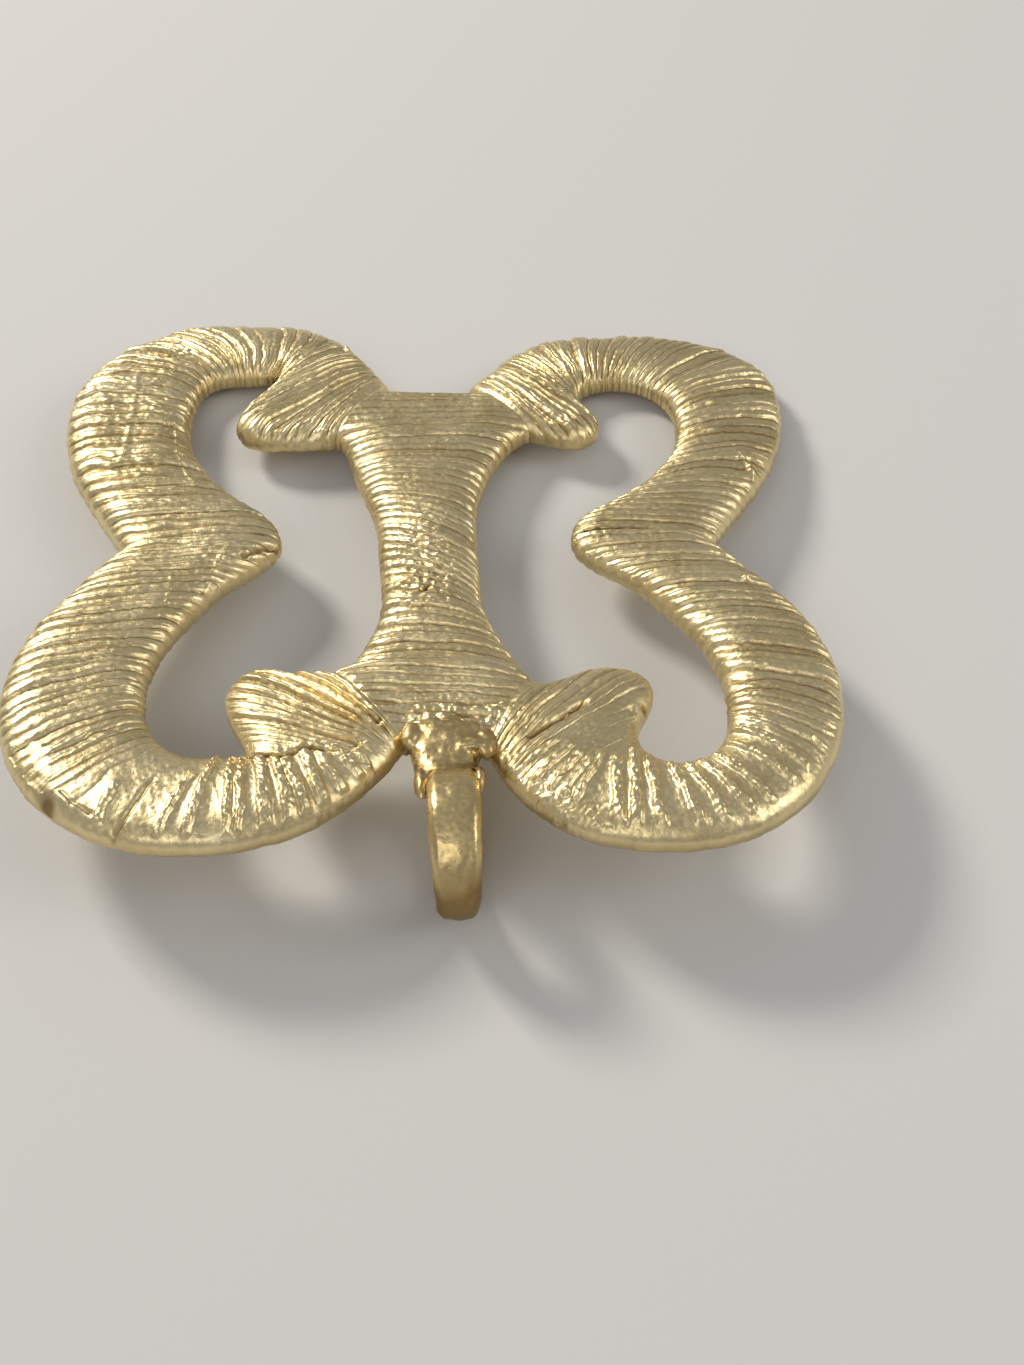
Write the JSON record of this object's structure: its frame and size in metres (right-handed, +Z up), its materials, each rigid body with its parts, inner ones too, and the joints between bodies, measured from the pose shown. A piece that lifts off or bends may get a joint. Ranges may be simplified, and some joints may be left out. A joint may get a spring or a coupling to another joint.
{
  "type": "adinkra pendant",
  "caption": "Cast brass pendant of curled, ribbed ram's horns on a waisted spine, with a flat back and a strip bail loop for a cord.",
  "frame": {"origin": "on the table, under the middle of the pendant's box", "axes": "+Z up from the table, +Y along the spine away from the bail, +X across the horns"},
  "size_m": [0.0666, 0.0708, 0.0112],
  "materials": {
    "ribbed_brass": "satin cast brass with incised ribs, bright on the ridges and brown in the grooves",
    "bail_brass": "smooth satin cast brass"
  },
  "bodies": {
    "root": {"spine": "ribbed_brass", "upper_left_horn": "ribbed_brass", "upper_left_hook": "ribbed_brass", "upper_right_horn": "ribbed_brass", "upper_right_hook": "ribbed_brass", "lower_left_horn": "ribbed_brass", "lower_left_hook": "ribbed_brass", "lower_right_horn": "ribbed_brass", "lower_right_hook": "ribbed_brass", "bail_cradle": "bail_brass", "bail_loop": "bail_brass"}
  },
  "joints": []
}
